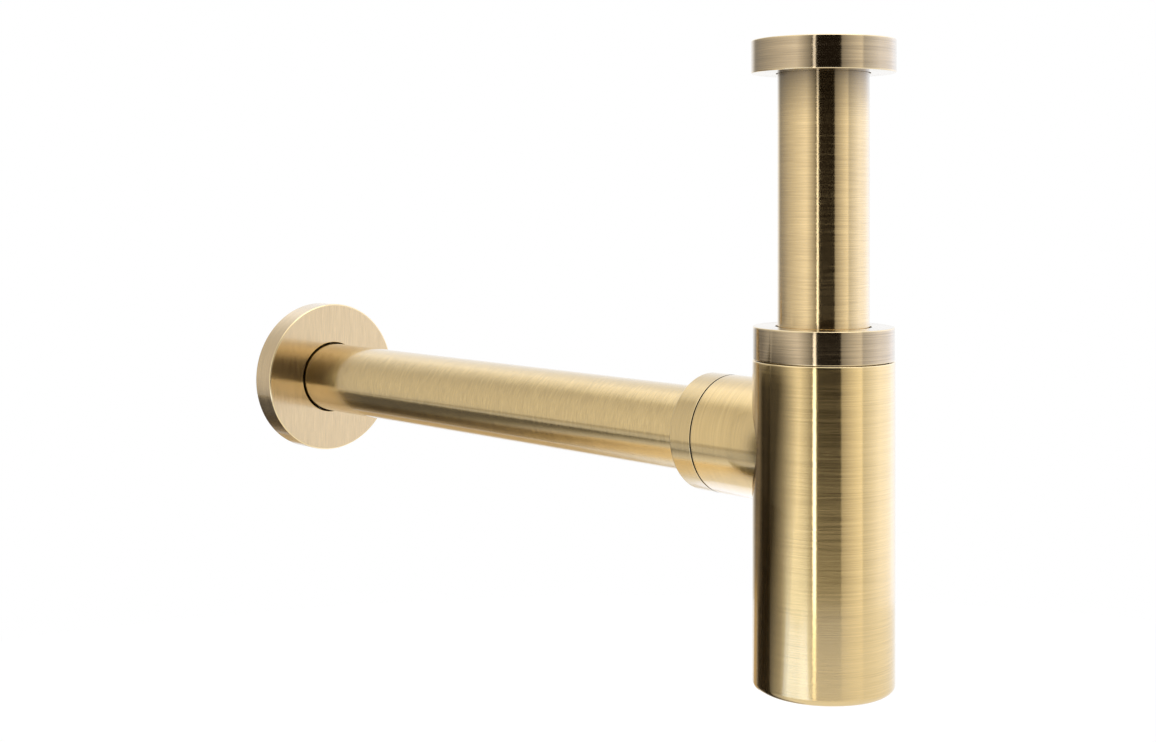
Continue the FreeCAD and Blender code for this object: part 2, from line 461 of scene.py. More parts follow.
def map_strokes(bm: Mesh, straight: Optional[float] = None, hidden: Sequence[Span] = ()) -> None:
    """Lays the stroke map on a mesh turned about +Z, and numbers its straight-brushed and inner faces.

    Args:
        bm: the mesh.
        straight: the place along the axis, in millimetres, of a flat face with straight strokes.
        hidden: spans along the axis, in millimetres, whose faces lie in a seam or under a nut.
    """
    layer = bm.loops.layers.uv.new(STROKES)
    for face in bm.faces:
        middle = face.calc_center_median()
        flat = abs(face.normal.z) > FLAT
        heading = math.atan2(middle.y, middle.x)
        is_straight = straight is not None and flat and abs(middle.z - straight * MM) < ON_FACE
        outwards = face.normal.x * middle.x + face.normal.y * middle.y
        inner = outwards < INWARD * math.hypot(middle.x, middle.y)
        inner = inner or any(low < middle.z / MM < high for low, high in hidden)
        face.material_index = Face.STRAIGHT if is_straight else Face.INNER if inner else Face.TURNED
        for loop in face.loops:
            x, y, z = loop.vert.co
            radius = math.hypot(x, y)
            turn = 0.0
            if radius > ON_AXIS:
                turn = (math.atan2(y, x) - heading + math.pi) % (2.0 * math.pi) - math.pi
            if is_straight:
                loop[layer].uv = (y * STROKE_UNIT, x * STROKE_UNIT)
            else:
                across = radius if flat else z
                loop[layer].uv = ((heading + turn) / (2.0 * math.pi), across * STROKE_UNIT)


def soften(bm: Mesh) -> None:
    """Smooth faces, with the real edges kept sharp and the rounded ones marked as worn."""
    worn = bm.verts.layers.float.new(WEAR)
    for face in bm.faces:
        face.smooth = True
    for edge in bm.edges:
        angle = math.degrees(edge.calc_face_angle_signed(0.0))
        edge.smooth = abs(angle) < SHARP_ANGLE
        if WORN_ANGLES[0] < angle < SHARP_ANGLE:
            share = min(1.0, (angle - WORN_ANGLES[0]) / (WORN_ANGLES[1] - WORN_ANGLES[0]))
            for vert in edge.verts:
                vert[worn] = max(vert[worn], share)


def finished(name: str, bm: Mesh, materials: Sequence[bpy.types.Material]) -> bpy.types.Object:
    """Makes an object from a mesh and frees the mesh.

    Args:
        name: the object's name.
        bm: the mesh, in the frame of the solids.
        materials: its materials, in the order of the faces' numbers.

    Returns:
        The object, at the origin.
    """
    mesh = bpy.data.meshes.new(name)
    bm.to_mesh(mesh)
    bm.free()
    for material in materials:
        mesh.materials.append(material)
    thing = bpy.data.objects.new(name, mesh)
    bpy.context.scene.collection.objects.link(thing)
    return thing


def seat(thing: bpy.types.Object, node: str, body: str) -> bpy.types.Object:
    """Lets a piece stand for a node of the solids.

    Args:
        thing: the piece.
        node: the node that it replaces.
        body: the body that it moves with.

    Returns:
        The same piece.
    """
    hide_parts(node)
    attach(thing, body)
    return thing


@dataclass
class TurnedPiece:
    """One piece that is turned about an axis of the trap."""

    node: str
    body: str
    axis: Axis
    outline: Sequence[Corner]
    finish: Finish
    steps: int = TURN_STEPS
    straight: Optional[float] = None
    inside: Optional[Finish] = None
    hidden: Sequence[Span] = ()
    extra: List[Mesh] = field(default_factory=list)

    def build(self) -> bpy.types.Object:
        """Builds and dresses the piece."""
        bm = spun(self.outline, self.steps)
        for more in self.extra:
            join(bm, more)
        map_strokes(bm, self.straight, self.hidden)
        soften(bm)
        bm.transform(self.axis.placement)
        turned = self.finish.material(self.axis)
        straight = turned if self.straight is None else self.finish.material(self.axis, Stroke.STRAIGHT)
        inside = turned if self.inside is None else self.inside.material(self.axis)
        materials = [turned, straight, inside]
        return seat(finished(self.node + "_dressed", bm, materials), self.node, self.body)


def join(bm: Mesh, more: Mesh) -> None:
    """Adds one mesh to another and frees it."""
    mesh = bpy.data.meshes.new("joined")
    more.to_mesh(mesh)
    more.free()
    bm.from_mesh(mesh)
    bpy.data.meshes.remove(mesh)


@dataclass(frozen=True)
class Thread:
    """A screw thread as a closed helical ridge on a wall, in millimetres."""

    wall: float
    crest: float
    pitch: float
    start: float
    end: float
    steps: int = 96
    run_out: float = 0.6
    sink: float = 0.12
    foot_share: float = 0.44
    tip_share: float = 0.10

    def ridge(self) -> Mesh:
        """The ridge as a mesh turned about +Z, sunk a little into its wall."""
        inwards = 1.0 if self.crest < self.wall else -1.0
        root = self.wall + inwards * self.sink
        foot, tip = self.foot_share * self.pitch, self.tip_share * self.pitch
        bm = bmesh.new()
        section = ((root, -foot), (self.crest, -tip), (self.crest, tip), (root, foot))
        verts = [bm.verts.new((radius * MM, 0.0, (self.start + along) * MM)) for radius, along in section]
        face = bm.faces.new(verts)
        turns = (self.end - self.start) / self.pitch
        count = round(turns * self.steps)
        bmesh.ops.spin(bm, geom=verts + list(bm.edges) + [face], cent=(0.0, 0.0, 0.0), axis=(0.0, 0.0, 1.0),
                       dvec=(0.0, 0.0, self.pitch * MM / self.steps),
                       angle=2.0 * math.pi * count / self.steps, steps=count,
                       use_merge=False, use_duplicate=False)
        self.taper(bm, root, turns)
        bmesh.ops.recalc_face_normals(bm, faces=list(bm.faces))
        return bm

    def taper(self, bm: Mesh, root: float, turns: float) -> None:
        """Lets both ends of the ridge run out into the wall.

        Args:
            bm: the ridge.
            root: the radius that the ends run out to.
            turns: how often the ridge goes round.
        """
        for vert in bm.verts:
            angle = math.atan2(vert.co.y, vert.co.x) / (2.0 * math.pi)
            place = (vert.co.z / MM - self.start) / self.pitch
            place = angle + round(place - angle)
            share = min(place, turns - place) * 2.0 * math.pi / self.run_out
            share = max(0.0, min(1.0, share))
            radius = math.hypot(vert.co.x, vert.co.y)
            reach = (root * MM + (radius - root * MM) * share) / radius
            vert.co.x *= reach
            vert.co.y *= reach


# The tube's corner tone is painted shade just under the coupling nut, full at its foot and gone 16 mm lower.
TUBE_BRASS = BrushedBrass("tube_brass", (0.79, 0.59, 0.29), (0.54, 0.395, 0.19), reach=0.9,
                          painted_shade_span=(-0.0275, -0.0115), painted_shade_share=0.85)
BOTTLE_BRASS = BrushedBrass("bottle_brass", (0.80, 0.585, 0.255), (0.61, 0.44, 0.18), reach=0.8,
                            stroke_depth=0.15)
NUT_BRASS = BrushedBrass("nut_brass", (0.57, 0.435, 0.26), (0.325, 0.245, 0.141), roughness=0.135, reach=0.8)
PIPE_BRASS = BrushedBrass("pipe_brass", (0.80, 0.595, 0.265), (0.55, 0.40, 0.17), reach=3.2,
                          stroke_depth=0.25)
ROSETTE_BRASS = BrushedBrass("rosette_brass", (0.77, 0.58, 0.325), (0.55, 0.41, 0.225), roughness=0.21,
                             reach=2.6)
OUTLET_NUT_BRASS = BrushedBrass("outlet_nut_brass", (0.70, 0.52, 0.235), (0.54, 0.395, 0.17), reach=2.6,
                                stroke_width=0.36, stroke_depth=0.2)

# Dull brass inside the pieces, nearly black brass that is painted shade inside the outlet nut, in its seam
# and on the socket's neck, matt black rubber with a bloom, and milky nylon.
RAW_BRASS = CloudedFinish("raw_brass", ((0.20, 0.14, 0.065), (0.40, 0.29, 0.13)), (0.46, 0.34), 150.0, 4.0,
                          "brushed_brass", cloud_grain=0.6, marks=2500.0, mark_strength=0.15,
                          mark_depth=0.00003, metallic=1.0)
SHADED_RECESS_BRASS = replace(RAW_BRASS, name="painted_shade_recess_brass", tones=((0.03, 0.022, 0.013), (0.07, 0.05, 0.028)))
RUBBER = CloudedFinish("seal_rubber", ((0.018, 0.018, 0.019), (0.050, 0.049, 0.047)), (0.55, 0.72), 260.0,
                       3.0, "black_rubber", cloud_span=(0.35, 0.7), marks=3200.0, mark_strength=0.25,
                       mark_depth=0.00005)
NYLON = CloudedFinish("ring_nylon", ((0.70, 0.68, 0.61), (0.80, 0.79, 0.74)), (0.36, 0.46), 180.0, 2.0,
                      "white_nylon", subsurface=0.12)


def ring(inner: float, outer: float, start: float, end: float, edges: Span) -> List[Corner]:
    """The outline of a plain ring, with the roundings of its first and second end."""
    return [Corner(inner, start, edges[0]), Corner(outer, start, edges[0]),
            Corner(outer, end, edges[1]), Corner(inner, end, edges[1])]


@dataclass
class InletCoupling:
    """Coupling nut on the basin waste, with the tube that hangs in it and its gasket."""

    nut_radius: float = 25.2
    nut_height: float = 11.5
    nut_floor: float = 1.8
    thread_crest: float = 19.5
    thread_root: float = 20.9
    thread_pitch: float = 2.309
    thread_ends: Span = (1.1, 1.2)
    relief_radius: float = 21.1
    relief_top: float = -6.7
    hole_radius: float = 16.4
    tube_radius: float = 16.0
    tube_bore: float = 15.0
    tube_end: float = -213.0
    collar_radius: float = 20.5
    collar_bottom: float = -9.6
    collar_top: float = -8.4
    gasket_bore: float = 15.2
    gasket_top: float = -6.9

    def nut(self) -> TurnedPiece:
        """Round nut with a threaded mouth and a floor under the tube's collar."""
        bottom = -self.nut_height
        floor = bottom + self.nut_floor
        low, high = self.thread_ends
        thread = Thread(self.thread_root, self.thread_crest, self.thread_pitch, self.relief_top + low, -high)
        return TurnedPiece("coupling_nut", "coupling", Axis.INLET, [
            Corner(self.hole_radius, bottom, FINE),
            Corner(self.nut_radius, bottom, SOFT),
            Corner(self.nut_radius, 0.0, SOFT),
            Corner(self.thread_root, 0.0, EDGE),
            Corner(self.thread_root, self.relief_top),
            Corner(self.relief_radius, self.relief_top),
            Corner(self.relief_radius, floor),
            Corner(self.hole_radius, floor),
        ], NUT_BRASS, inside=RAW_BRASS, extra=[thread.ridge()])

    def tube(self) -> TurnedPiece:
        """Drawn tube with a rolled collar at the top."""
        return TurnedPiece("inlet_tube", "inlet", Axis.INLET, [
            Corner(self.tube_bore, self.tube_end, FINE),
            Corner(self.tube_radius, self.tube_end, EDGE),
            Corner(self.tube_radius, self.collar_bottom),
            Corner(self.collar_radius, self.collar_bottom, EDGE),
            Corner(self.collar_radius, self.collar_top, EDGE),
            Corner(self.tube_bore, self.collar_top, LIP),
        ], TUBE_BRASS, inside=RAW_BRASS)

    def gasket(self) -> TurnedPiece:
        """Flat rubber ring on the collar."""
        outline = ring(self.gasket_bore, self.collar_radius, self.collar_top, self.gasket_top,
                       (FINE, MOULDED))
        return TurnedPiece("inlet_gasket", "inlet", Axis.INLET, outline, RUBBER, steps=RING_STEPS)

    def pieces(self) -> List[TurnedPiece]:
        """The pieces in building order."""
        return [self.nut(), self.tube(), self.gasket()]


@dataclass
class CompressionJoint:
    """Round nut, slip ring and cone seal that grip a tube in a threaded mouth."""

    axis: Axis
    name: str
    nut_body: str
    outer: float
    bore: float
    hole: float
    base: float
    top: float
    mouth: float
    seam: float
    finish: Finish
    # The recess finish goes inside the nut and on the seam at its base; the outlet joint's is painted shade.
    recess: Finish
    plate: float = 2.0
    tube: float = 16.0
    ring_height: float = 1.0
    head_height: float = 1.4
    seat_depth: float = 0.8
    cone_length: float = 4.6
    cone_taper: float = 0.6
    stack_gap: float = 0.1
    ring_clearance: float = 0.3
    seal_clearance: float = 0.05

    @property
    def ring_top(self) -> float:
        """The upper face of the slip ring."""
        return self.top - self.plate - self.stack_gap

    @property
    def seal_top(self) -> float:
        """The upper face of the seal's head."""
        return self.ring_top - self.ring_height - self.stack_gap

    @property
    def rim(self) -> float:
        """The rim of the mouth, which carries the seal's head."""
        return self.seal_top - self.head_height

    def nut(self) -> TurnedPiece:
        """Nut with an end plate and a skirt over the mouth's thread."""
        inside = self.top - self.plate
        return TurnedPiece(f"{self.name}_nut", self.nut_body, self.axis, [
            Corner(self.hole, inside),
            Corner(self.bore, inside),
            Corner(self.bore, self.base, EDGE),
            Corner(self.outer, self.base, self.seam),
            Corner(self.outer, self.top, SOFT),
            Corner(self.hole, self.top, FINE),
        ], self.finish, inside=self.recess, hidden=[(self.base - KEEN, self.base + KEEN)])

    def slip_ring(self) -> TurnedPiece:
        """Flat nylon ring that lets the nut turn on the seal."""
        outline = ring(self.tube + self.ring_clearance, self.mouth + self.seat_depth,
                       self.ring_top - self.ring_height, self.ring_top, (RING_EDGE, RING_EDGE))
        return TurnedPiece(f"{self.name}_slip_ring", f"{self.name}_ring", self.axis, outline, NYLON,
                           steps=RING_STEPS)

    def cone_seal(self) -> TurnedPiece:
        """Rubber ring with a head on the rim and a cone in the mouth."""
        inner = self.tube + self.seal_clearance
        cone_end = self.rim - self.cone_length
        return TurnedPiece(f"{self.name}_cone_seal", "bottle", self.axis, [
            Corner(inner, cone_end, RING_EDGE),
            Corner(self.mouth - self.cone_taper, cone_end, EDGE),
            Corner(self.mouth, self.rim - self.seat_depth),
            Corner(self.mouth + self.seat_depth, self.rim),
            Corner(self.mouth + self.seat_depth, self.seal_top, MOULDED),
            Corner(inner, self.seal_top, FINE),
        ], RUBBER, steps=RING_STEPS)

    def pieces(self) -> List[TurnedPiece]:
        """The pieces in building order."""
        return [self.nut(), self.slip_ring(), self.cone_seal()]


LID_JOINT = CompressionJoint(Axis.INLET, "lid", "lid",
                             outer=24.6, bore=22.6, hole=16.75, base=-111.2, top=-99.7, mouth=20.5,
                             seam=FINE, finish=NUT_BRASS, recess=NUT_BRASS)
OUTLET_JOINT = CompressionJoint(Axis.OUTLET, "outlet", "outlet_cap",
                                outer=21.85, bore=19.9, hole=16.5, base=43.7, top=53.9, mouth=18.5,
                                seam=KEEN, finish=OUTLET_NUT_BRASS, recess=SHADED_RECESS_BRASS)


@dataclass
class Bottle:
    """Drawn cup with a threaded mouth and a brazed outlet socket, open from mouth to socket."""

    radius: float = 24.75
    shoulder: float = -111.5
    bottom: float = -225.7
    wall: float = 1.5
    floor: float = 2.0
    corner: float = 2.5
    inner_corner: float = 1.0
    neck: float = 22.3
    socket_radius: float = 21.85
    socket_reach: float = 43.4
    socket_neck: float = 19.6
    pipe_bore: float = 16.3
    seal_pocket: float = 44.6
    thread_pitch: float = 1.5
    thread_depth: float = 0.7
    thread_ends: Span = (1.4, 0.8)
    overshoot: float = 2.0
    steps: int = TURN_STEPS

    def solid(self, name: str, outline: Sequence[Corner], axis: Axis, number: BodyFace,
              end: float = math.inf) -> bpy.types.Object:
        """A turned solid that takes part in the body's Boolean.

        Args:
            name: the object's name.
            outline: its outline.
            axis: its axis.
            number: the material number of its faces.
            end: where it goes into its nut, and its neck starts.

        Returns:
            The object, with its stroke map.
        """
        bm = spun(outline, self.steps)
        map_strokes(bm)
        for face in bm.faces:
            face.material_index = BodyFace.NECK if face.calc_center_median().z / MM > end else number
        bm.transform(axis.placement)
        return finished(name, bm, self.materials())

    def materials(self) -> List[bpy.types.Material]:
        """The cup's finish, the socket's, the inside's, and painted shade on the socket's neck under its
        nut.
        """
        return [BOTTLE_BRASS.material(Axis.INLET), BOTTLE_BRASS.material(Axis.OUTLET),
                RAW_BRASS.material(Axis.INLET), SHADED_RECESS_BRASS.material(Axis.INLET)]

    def plug(self, bottom: Corner, shoulder: Corner, neck: float, rim: float) -> List[Corner]:
        """A solid cylinder between two corners, with the core of a threaded neck on it up to a rim."""
        core = neck - self.thread_depth
        return [Corner(0.0, bottom.along), bottom, shoulder,
                Corner(core, shoulder.along), Corner(core, rim), Corner(0.0, rim)]

    def seat_cut(self, joint: CompressionJoint) -> List[Corner]:
        """The end of a cut: the seal's seat in a joint's mouth, and on past its rim."""
        past = joint.rim + self.overshoot
        return [
            Corner(joint.mouth, joint.rim - joint.seat_depth),
            Corner(joint.mouth + joint.seat_depth, joint.rim),
            Corner(joint.mouth + joint.seat_depth, past),
            Corner(0.0, past),
        ]

    def operands(self) -> List[Tuple[str, bpy.types.Object]]:
        """The cup, and what is joined to it and cut from it."""
        inner = self.radius - self.wall
        floor = self.bottom + self.floor
        step = self.shoulder - self.wall
        lid, out = LID_JOINT, OUTLET_JOINT
        cup = self.plug(Corner(self.radius, self.bottom, self.corner),
                        Corner(self.radius, self.shoulder, SOFT), self.neck, lid.rim)
        socket = self.plug(Corner(self.socket_radius, 0.0),
                           Corner(self.socket_radius, self.socket_reach, KEEN), self.socket_neck, out.rim)
        cavity = [
            Corner(0.0, floor),
            Corner(inner, floor, self.inner_corner),
            Corner(inner, step - (inner - lid.mouth)),
            Corner(lid.mouth, step),
            *self.seat_cut(lid),
        ]
        waterway = [
            Corner(0.0, 0.0),
            Corner(self.pipe_bore, 0.0),
            Corner(self.pipe_bore, self.seal_pocket),
            Corner(out.mouth, self.seal_pocket),
            *self.seat_cut(out),
        ]
        return [
            ("UNION", self.solid("cup", cup, Axis.INLET, BodyFace.CUP)),
            ("UNION", self.solid("socket", socket, Axis.OUTLET, BodyFace.SOCKET, self.socket_reach - KEEN)),
            ("DIFFERENCE", self.solid("cavity", cavity, Axis.INLET, BodyFace.INNER)),
            ("DIFFERENCE", self.solid("waterway", waterway, Axis.OUTLET, BodyFace.INNER)),
        ]

    def threads(self) -> List[Mesh]:
        """The thread on the mouth's neck and the thread on the socket's neck."""
        made = []
        for axis, neck, start, end in (
            (Axis.INLET, self.neck, self.shoulder, LID_JOINT.rim),
            (Axis.OUTLET, self.socket_neck, self.socket_reach, OUTLET_JOINT.rim),
        ):
            low, high = self.thread_ends
            thread = Thread(neck - self.thread_depth, neck, self.thread_pitch, start + low, end - high)
            bm = thread.ridge()
            map_strokes(bm, hidden=[(start, end)])
            bm.transform(axis.placement)
            made.append(bm)
        return made

    def build(self) -> bpy.types.Object:
        """Joins, cuts and dresses the body."""
        operands = self.operands()
        body = operands[0][1]
        for operation, other in operands[1:]:
            cut = body.modifiers.new(other.name, "BOOLEAN")
            cut.operation = operation
            cut.object = other
            cut.solver = "EXACT"
        graph = bpy.context.evaluated_depsgraph_get()
        mesh = bpy.data.meshes.new_from_object(body.evaluated_get(graph), depsgraph=graph)
        bm = bmesh.new()
        bm.from_mesh(mesh)
        bmesh.ops.remove_doubles(bm, verts=list(bm.verts), dist=MERGED_CUT)
        for more in self.threads():
            join(bm, more)
        soften(bm)
        bpy.data.meshes.remove(mesh)
        for _, thing in operands:
            old = thing.data
            bpy.data.objects.remove(thing)
            bpy.data.meshes.remove(old)
        dressed = finished("bottle_body_dressed", bm, self.materials())
        return seat(dressed, "bottle_body", "bottle")


@dataclass
class OutletPipe:
    """Plain pipe to the wall, with a rolled line that marks how far it goes into the drain."""

    radius: float = 16.0
    bore: float = 15.0
    start: float = 27.4
    end: float = 337.4
    mark_start: float = 316.6
    mark_end: float = 317.4
    mark_depth: float = 0.25

    def pieces(self) -> List[TurnedPiece]:
        """The pipe."""
        return [TurnedPiece("outlet_pipe", "pipe", Axis.OUTLET, [
            Corner(self.bore, self.start),
            Corner(self.radius, self.start, EDGE),
            Corner(self.radius, self.mark_start, MARKED),
            Corner(self.radius - self.mark_depth, self.mark_start),
            Corner(self.radius - self.mark_depth, self.mark_end),
            Corner(self.radius, self.mark_end, MARKED),
            Corner(self.radius, self.end, EDGE),
            Corner(self.bore, self.end),
        ], PIPE_BRASS, inside=RAW_BRASS)]


@dataclass
class WallRosette:
    """Hollow cover on the pipe, open at the back, with a rubber grip ring in its hub."""

    radius: float = 35.0
    front: float = 303.5
    back: float = 315.8
    plate: float = 2.0
    rim_wall: float = 1.5
    hole: float = 16.6
    hub: float = 20.2
    hub_end: float = 311.5
    groove: float = 18.65
    groove_start: float = 307.4
    groove_end: float = 310.1
    ring_inner: float = 16.05
    ring_outer: float = 18.55
    ring_start: float = 307.5
    ring_end: float = 310.0

    def cover(self) -> TurnedPiece:
        """The cover, with straight strokes on its face."""
        inside = self.front + self.plate
        return TurnedPiece("wall_rosette", "rosette", Axis.OUTLET, [
            Corner(self.hole, self.front, EDGE),
            Corner(self.radius, self.front, BOLD),
            Corner(self.radius, self.back, FINE),
            Corner(self.radius - self.rim_wall, self.back, FINE),
            Corner(self.radius - self.rim_wall, inside),
            Corner(self.hub, inside),
            Corner(self.hub, self.hub_end, EDGE),
            Corner(self.hole, self.hub_end, EDGE),
            Corner(self.hole, self.groove_end),
            Corner(self.groove, self.groove_end),
            Corner(self.groove, self.groove_start),
            Corner(self.hole, self.groove_start),
        ], ROSETTE_BRASS, straight=self.front, inside=RAW_BRASS)

    def grip_ring(self) -> TurnedPiece:
        """Square rubber ring that grips the pipe."""
        outline = ring(self.ring_inner, self.ring_outer, self.ring_start, self.ring_end, (EDGE, EDGE))
        return TurnedPiece("rosette_grip_ring", "rosette", Axis.OUTLET, outline, RUBBER, steps=RING_STEPS)

    def pieces(self) -> List[TurnedPiece]:
        """The pieces in building order."""
        return [self.cover(), self.grip_ring()]


@dataclass(frozen=True)
class Softbox:
    """A lit or dark part of the studio's wall.

    Azimuths are degrees round the trap from the camera's side, positive to the camera's right. The
    level is reached over the first span and left over the last one.
    """

    name: str
    rise: Span
    fall: Span
    level: float
    low: float = STRAIGHT_DOWN
    high: float = STRAIGHT_UP
    tint: Colour = WHITE
    low_blur: float = 1.0
    high_blur: float = 2.0

    @property
    def light(self) -> Colour:
        """The wall's colour times its level."""
        return tuple(self.level * part for part in self.tint)


@dataclass(frozen=True)
class Card:
    """A matt card that the metal reflects, with soft edges.

    The turn is degrees about x, y and z. The card comes in over the first span of its width and goes
    over the last one, and it comes in over one span of its height, counted from the end that is clear.
    The lean is how far the near edge moves in at the foot, and the height where it ends.
    """

    name: str
    middle: Point
    size: Span
    rise: Span
    fall: Span
    lift: Span
    cover: float
    colour: Colour = (0.03, 0.024, 0.018)
    one_sided: bool = False
    lean: Span = (0.0, 1.0)
    turn: Point = (0.0, 0.0, 0.0)


@dataclass(frozen=True)
class Lamp:
    """A large soft lamp: its centre, width and depth, degrees about x from shining down and then about z."""

    name: str
    place: Point
    size: Span
    turn: Span
    watts: float
    colour: Colour


@dataclass
class Studio:
    """Camera, floor, soft studio walls, lamps and the cards that draw the metal's contours."""

    heading: float = 42.319
    facing: float = 50.67
    eye: Point = (-0.4564, -0.3740, -0.0531)
    focal: float = 1672.16
    picture: Span = (1156.0, 742.0)
    horizon: float = 192.64
    sensor: float = 36.0
    floor_height: float = -0.5
    floor_radius: float = 1.27
    floor_colour: Colour = (0.86, 0.86, 0.86)
    floor_glow: float = 0.92
    room: Colour = (0.42, 0.40, 0.36)
    overhead: Colour = (1.45, 1.45, 1.45)
    overhead_span: Span = (40.0, 50.0)
    backdrop_span: Span = (140.0, 165.0)
    walls: Tuple[Softbox, ...] = (
        Softbox("left softbox", (-130.0, -47.0), (-42.0, -20.0), 1.2, tint=(1.0, 0.97, 0.91)),
        Softbox("dark camera side", (-20.0, -16.0), (27.5, 29.0), 0.018, tint=(1.0, 0.72, 0.48)),
        Softbox("strip light", (-16.6, -15.6), (-12.4, -11.4), 1.6, low=-17.0),
        Softbox("strip light, lower end", (-17.5, -15.6), (-12.4, -11.0), 5.0, low=-17.0, high=-7.2),
        Softbox("right softbox", (27.5, 62.0), (64.5, 66.0), 1.25, tint=(1.0, 0.97, 0.9)),
        Softbox("right wall", (64.5, 66.0), NO_END, 0.85),
        Softbox("backdrop", (68.0, 100.0), NO_END, 1.35, tint=(1.0, 1.03, 1.14)),
        Softbox("backdrop to the left", NO_START, (-160.0, -136.0), 1.2),
        Softbox("upper backdrop to the left", NO_START, (-147.0, -105.0), 1.2, low=15.0),
        Softbox("low dark on the left", (-172.0, -155.0), (-118.0, -98.0), 0.16, high=-5.0,
                tint=(1.0, 0.85, 0.7)),
    )
    lamps: Tuple[Lamp, ...] = (
        Lamp("key", (0.2, -0.2, 1.4), (1.2, 1.2), (0.0, 0.0), 5.0, WHITE),
        Lamp("light_table", (0.315, 0.295, -0.488), (0.5, 0.3), (180.0, 22.0), 0.33, (0.46, 0.60, 1.0)),
        Lamp("low_light", (-0.9, 0.09, -0.49), (0.5, 0.7), (180.0, 0.0), 1.9, (0.47, 0.64, 1.0)),
    )
    cards: Tuple[Card, ...] = (
        Card("side_card_upper", (-0.05858, 0.01018, -0.133), (0.0605, 0.072),
             (0.0, 0.07), (0.275, 1.0), (0.92, 0.64), 0.93, lean=(0.115, 0.575),
             turn=(90.0, 13.2, 219.33)),
        Card("side_card_lower", (-0.02326, 0.03912, -0.2865), (0.0667, 0.2492),
             (0.1, 0.408), (0.47, 1.05), (-1.0, 0.0), 0.95, turn=(90.0, 13.2, 219.33)),
        Card("back_card", (-0.0754, 0.0920, -0.207), (0.162, 0.186),
             (0.0, 0.05), (0.93, 1.0), (1.0, 0.97), 0.95, one_sided=True,
             turn=(90.0, 0.0, -50.67)),
        Card("floor_shade", (-0.8975, 0.60, -0.494), (0.705, 1.4),
             (0.0, 0.02), (0.99, 1.0), (0.0, 0.1), 0.35),
        Card("floor_card", (-0.2625, 0.855, -0.495), (0.565, 0.79),
             (0.0, 0.02), (0.9, 1.0), (0.0, 0.253), 0.92),
        Card("brown_card", (-0.07, 0.855, -0.496), (0.34, 0.89),
             (0.03, 0.3), (0.85, 1.0), (0.0, 0.125), 0.92, (0.16, 0.115, 0.06)),
        Card("warm_card", (0.255, 0.87, -0.4965), (0.39, 0.90),
             (0.0, 0.15), (0.6, 1.0), (0.0, 0.12), 0.92, (0.42, 0.29, 0.12)),
        Card("gold_card", (-0.12, 0.44, -0.497), (0.40, 0.20),
             (0.0, 0.2), (0.7, 1.0), (0.0, 0.2), 0.9, (0.85, 0.67, 0.40)),
    )

    @property
    def sides(self) -> Tuple[Point, Point]:
        """The level directions from the trap to the camera and to the camera's right."""
        angle = math.radians(self.facing)
        return (-math.sin(angle), -math.cos(angle), 0.0), (math.cos(angle), -math.sin(angle), 0.0)

    def camera(self) -> None:
        """The camera at the photograph's place, level and shifted down."""
        data = bpy.data.cameras.new("camera")
        data.sensor_fit = "HORIZONTAL"
        data.sensor_width = self.sensor
        data.lens = self.sensor * self.focal / self.picture[0]
        data.shift_y = (self.horizon - self.picture[1] / 2.0) / self.picture[0]
        data.clip_start = 0.01
        camera = bpy.data.objects.new("camera", data)
        camera.location = self.eye
        camera.rotation_euler = (math.pi / 2, 0.0, -math.radians(self.heading))
        bpy.context.scene.collection.objects.link(camera)
        bpy.context.scene.camera = camera

    def floor(self) -> None:
        """Pale round floor that stays white in view and keeps the trap's shadow."""
        material, bench = new_material("floor_white")
        rays = bench.add("ShaderNodeLightPath").outputs
        seen = bench.math("MAXIMUM", rays["Is Camera Ray"], rays["Is Glossy Ray"])
        seen = bench.math("MAXIMUM", seen, rays["Is Transmission Ray"])
        matt = bench.add("ShaderNodeBsdfDiffuse", {"Color": self.floor_colour})
        white = bench.add("ShaderNodeEmission", {"Color": WHITE, "Strength": 1.0})
        glow = bench.math("MULTIPLY", seen, self.floor_glow)
        mixed = bench.add("ShaderNodeMixShader", {0: glow, 1: matt.outputs[0], 2: white.outputs[0]})
        bench.add("ShaderNodeOutputMaterial", {"Surface": mixed.outputs[0]})
        bm = bmesh.new()
        bmesh.ops.create_circle(bm, cap_ends=True, radius=self.floor_radius, segments=128)
        bmesh.ops.translate(bm, verts=list(bm.verts), vec=(0.0, 0.0, self.floor_height))
        floor = finished("floor", bm, [material])

    def card(self, card: Card) -> None:
        """Sets up a card, which only the metal's reflections see."""
        material, bench = new_material(card.name + "_paint")
        matt = bench.add("ShaderNodeBsdfDiffuse", {"Color": card.colour})
        clear = bench.add("ShaderNodeBsdfTransparent")
        place = bench.add("ShaderNodeUVMap", uv_map="card").outputs["UV"]
        width, height, _ = bench.add("ShaderNodeSeparateXYZ", {0: place}).outputs
        foot_shift, lean_end = card.lean
        near = bench.math("SUBTRACT", width, bench.ramp(height, (0.0, lean_end), (foot_shift, 0.0)))
        far = bench.ramp(width, card.fall, (card.cover, 0.0))
        cover = bench.math("MULTIPLY", bench.ramp(near, card.rise), far)
        cover = bench.math("MULTIPLY", cover, bench.ramp(height, card.lift))
        if card.one_sided:
            turned = bench.add("ShaderNodeNewGeometry").outputs["Backfacing"]
            cover = bench.math("MULTIPLY", cover, bench.math("SUBTRACT", 1.0, turned))
        mixed = bench.add("ShaderNodeMixShader", {0: cover, 1: clear.outputs[0], 2: matt.outputs[0]})
        bench.add("ShaderNodeOutputMaterial", {"Surface": mixed.outputs[0]})
        bm = bmesh.new()
        bm.loops.layers.uv.new("card")
        bmesh.ops.create_grid(bm, x_segments=1, y_segments=1, size=0.5, calc_uvs=True)
        turn = Euler([math.radians(angle) for angle in card.turn]).to_matrix().to_4x4()
        bm.transform(Matrix.Translation(card.middle) @ turn @ Matrix.Diagonal((*card.size, 1.0, 1.0)))
        thing = finished(card.name, bm, [material])
        thing.visible_camera = False
        thing.visible_diffuse = False
        thing.visible_shadow = False

